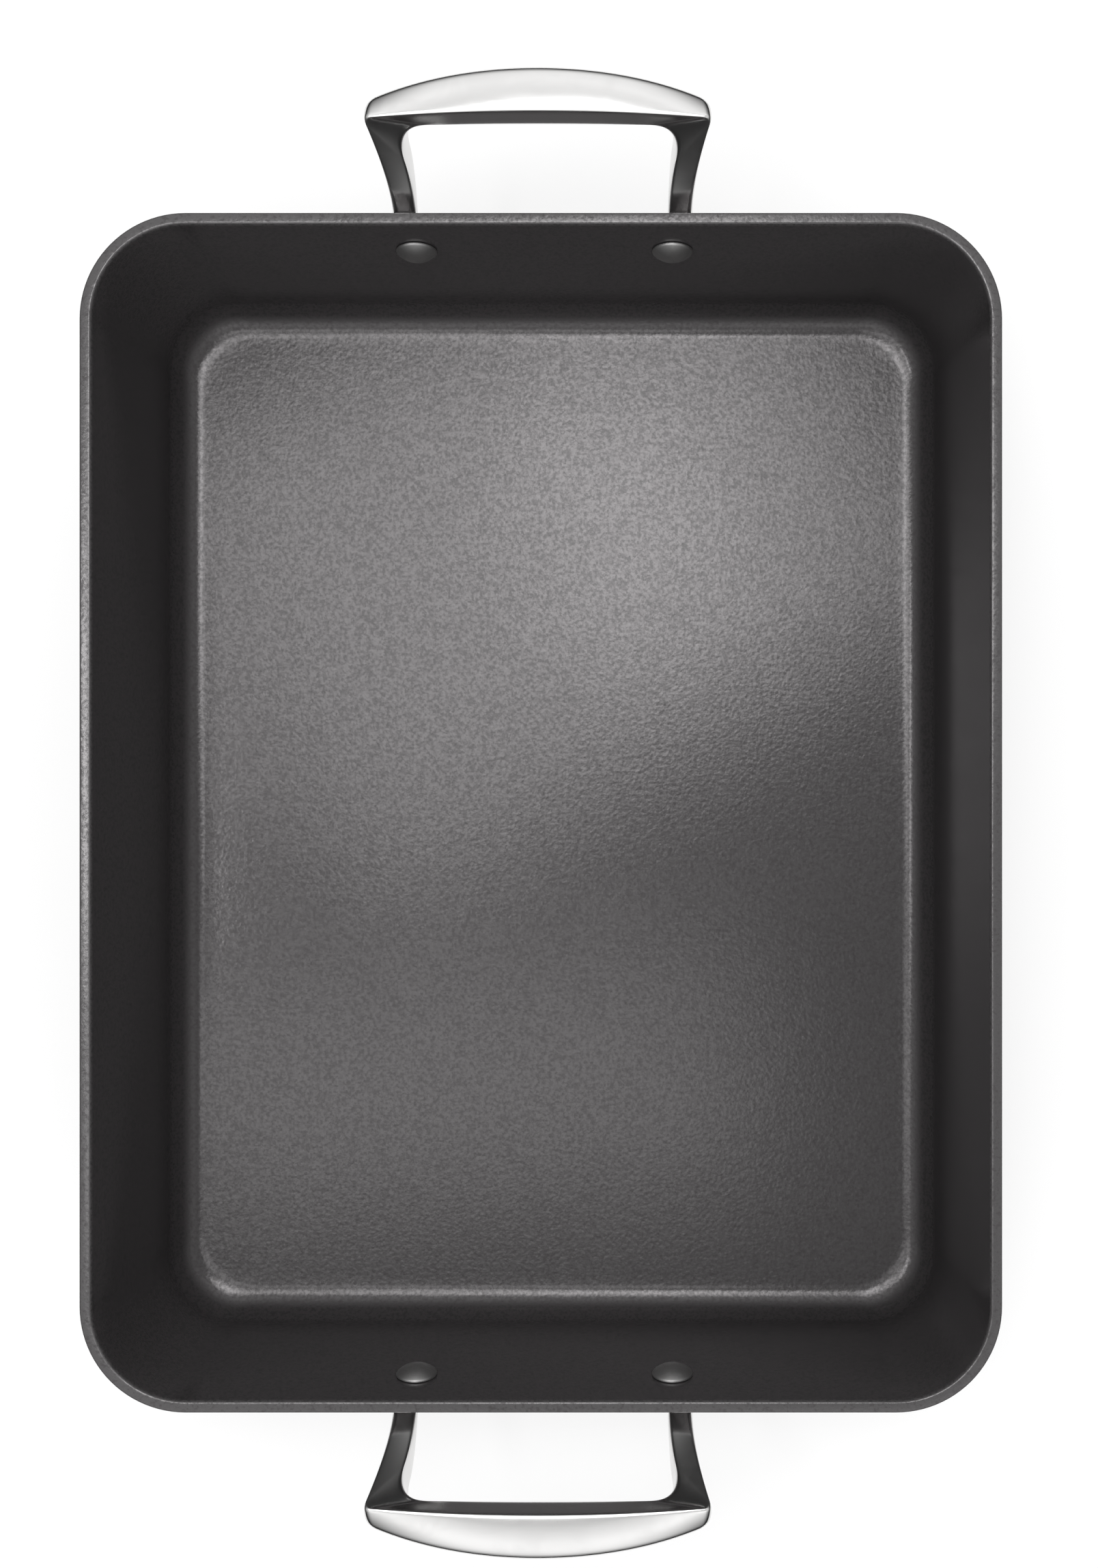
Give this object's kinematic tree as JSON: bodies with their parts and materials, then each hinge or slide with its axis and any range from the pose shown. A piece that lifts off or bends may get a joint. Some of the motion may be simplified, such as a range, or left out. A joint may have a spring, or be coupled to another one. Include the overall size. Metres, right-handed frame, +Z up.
{
  "type": "roasting pan",
  "caption": "Deep rectangular roasting pan with leaning walls, rounded corners, a flat rim with rounded edges, a dark non-stick coat and a riveted cast loop handle on each short side.",
  "frame": {"origin": "middle of the underside of the base, where the pan rests", "axes": "+X across the pan, +Y along the pan towards the rear handle (up in the picture), +Z up out of the pan"},
  "size_m": [0.27, 0.4256, 0.0861],
  "materials": {
    "coated_shell": "dark grey non-stick coat with a fine speckle, inside and out",
    "polished_steel": "cast and polished bright",
    "rivet_steel": "satin, domed heads"
  },
  "bodies": {
    "root": {"pan_body": "coated_shell", "rear_handle": "polished_steel", "front_handle": "polished_steel", "rear_left_rivet": "rivet_steel", "rear_right_rivet": "rivet_steel", "front_left_rivet": "rivet_steel", "front_right_rivet": "rivet_steel"}
  },
  "joints": []
}
